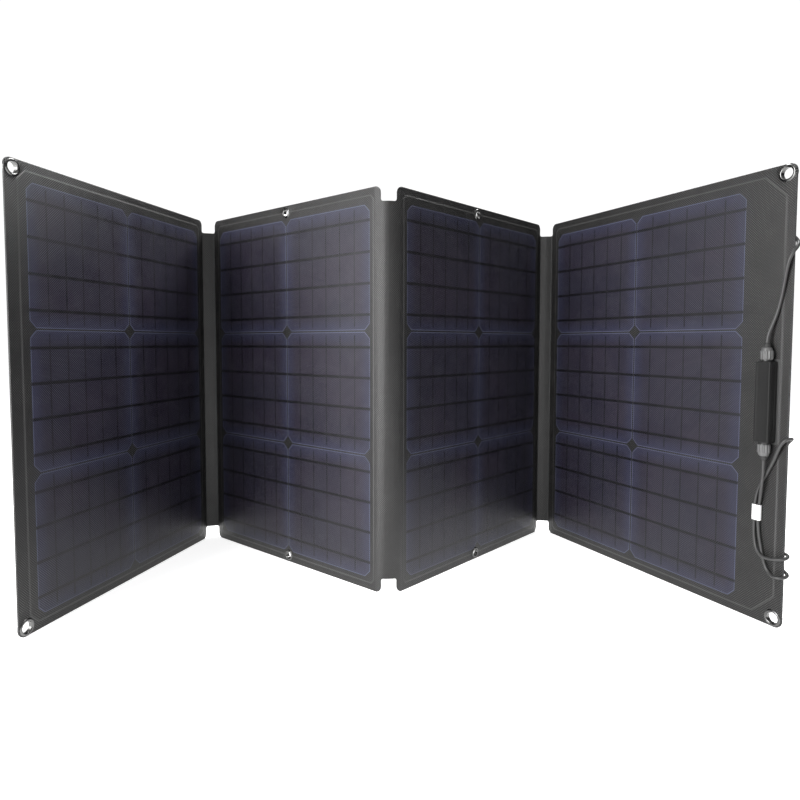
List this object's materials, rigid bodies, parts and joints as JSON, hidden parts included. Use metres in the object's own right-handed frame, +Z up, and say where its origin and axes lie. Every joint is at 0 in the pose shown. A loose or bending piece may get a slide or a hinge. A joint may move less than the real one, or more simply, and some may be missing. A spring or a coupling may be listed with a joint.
{
  "type": "folding solar blanket",
  "caption": "Folding solar blanket standing in a zigzag: cell panels joined by fabric folds, corner grommets, edge eyelets and an in-line regulator with its leads on the last panel.",
  "frame": {"origin": "middle of the bottom of the box around the standing blanket, without its loose leads; every panel's lower edge is at Z = 0", "axes": "+X to the right along the row seen from the cell side, +Y away from the viewer to the back, +Z up"},
  "size_m": [0.8409, 0.3795, 0.51],
  "materials": {
    "laminate": "satin",
    "cell": "gloss",
    "ribbon": "satin",
    "board": "matte",
    "cover_cloth": "matte",
    "link_copper": "satin",
    "grommet": "polished",
    "grommet_washer": "satin",
    "pad": "satin",
    "box_shell": "satin",
    "circuit_board": "satin",
    "ferrite": "matte",
    "capacitor": "satin",
    "gland": "satin",
    "nut": "satin",
    "seal": "matte",
    "diode": "satin",
    "terminal": "satin",
    "lead": "satin",
    "tag": "matte",
    "plug": "satin",
    "plug_metal": "polished"
  },
  "bodies": {
    "panel_2": {"panel_2_front_film": "laminate", "panel_2_cells": "cell", "panel_2_ribbons": "ribbon", "panel_2_board": "board", "panel_2_back_cover": "cover_cloth", "panel_2_eyelets": "grommet", "panel_2_eyelet_washers": "grommet_washer"},
    "web_1": {"fold_1_front_web": "laminate", "fold_1_back_web": "cover_cloth", "fold_1_link_ribbons": "link_copper"},
    "panel_1": {"panel_1_front_film": "laminate", "panel_1_cells": "cell", "panel_1_ribbons": "ribbon", "panel_1_board": "board", "panel_1_back_cover": "cover_cloth", "panel_1_corner_grommets": "grommet", "panel_1_grommet_washers": "grommet_washer"},
    "web_2": {"fold_2_front_web": "laminate", "fold_2_back_web": "cover_cloth", "fold_2_link_ribbons": "link_copper"},
    "panel_3": {"panel_3_front_film": "laminate", "panel_3_cells": "cell", "panel_3_ribbons": "ribbon", "panel_3_board": "board", "panel_3_back_cover": "cover_cloth", "panel_3_eyelets": "grommet", "panel_3_eyelet_washers": "grommet_washer"},
    "web_3": {"fold_3_front_web": "laminate", "fold_3_back_web": "cover_cloth", "fold_3_link_ribbons": "link_copper"},
    "panel_4": {"panel_4_front_film": "laminate", "panel_4_cells": "cell", "panel_4_ribbons": "ribbon", "panel_4_board": "board", "panel_4_back_cover": "cover_cloth", "panel_4_corner_grommets": "grommet", "panel_4_grommet_washers": "grommet_washer", "inline_box_pad": "pad", "inline_box_base": "box_shell", "inline_box_cover": "box_shell", "inline_box_circuit_board": "circuit_board", "inline_box_inductor": "ferrite", "inline_box_capacitors": "capacitor", "cable_gland_bodies": "gland", "cable_gland_nuts": "nut", "cable_gland_seals": "seal", "junction_box_base": "box_shell", "junction_box_lid": "box_shell", "junction_box_diode": "diode", "junction_box_terminals": "terminal", "junction_box_strain_relief": "seal", "input_lead": "lead", "output_lead": "lead", "lead_tag": "tag", "output_plug_strain_relief": "seal", "output_plug_body": "plug", "output_plug_barrel": "plug_metal"}
  },
  "joints": [
    {"name": "fold_1", "type": "hinge", "parent": "panel_2", "child": "web_1", "pos_m": [-0.29565, 0.16056, 0.255], "axis": [0, 0, 1], "range_deg": [-57, 30]},
    {"name": "fold_1_outer", "type": "hinge", "parent": "web_1", "child": "panel_1", "pos_m": [-0.31386, 0.15513, 0.255], "axis": [0, 0, 1], "range_deg": [-57, 30]},
    {"name": "fold_2", "type": "hinge", "parent": "panel_2", "child": "web_2", "pos_m": [-0.02797, -0.06726, 0.255], "axis": [0, 0, 1], "range_deg": [-43.5, 46.5]},
    {"name": "fold_2_outer", "type": "hinge", "parent": "web_2", "child": "panel_3", "pos_m": [-0.009, -0.06623, 0.255], "axis": [0, 0, 1], "range_deg": [-43.5, 46.5]},
    {"name": "fold_3", "type": "hinge", "parent": "panel_3", "child": "web_3", "pos_m": [0.23251, 0.18916, 0.255], "axis": [0, 0, -1], "range_deg": [-55.8, 34.2]},
    {"name": "fold_3_outer", "type": "hinge", "parent": "web_3", "child": "panel_4", "pos_m": [0.25127, 0.18612, 0.255], "axis": [0, 0, -1], "range_deg": [-55.8, 34.2]}
  ],
  "couplings": [
    {"joint": "fold_1", "follows": "fold_1_outer", "ratio": 1},
    {"joint": "fold_2", "follows": "fold_2_outer", "ratio": 1},
    {"joint": "fold_3", "follows": "fold_3_outer", "ratio": 1}
  ]
}
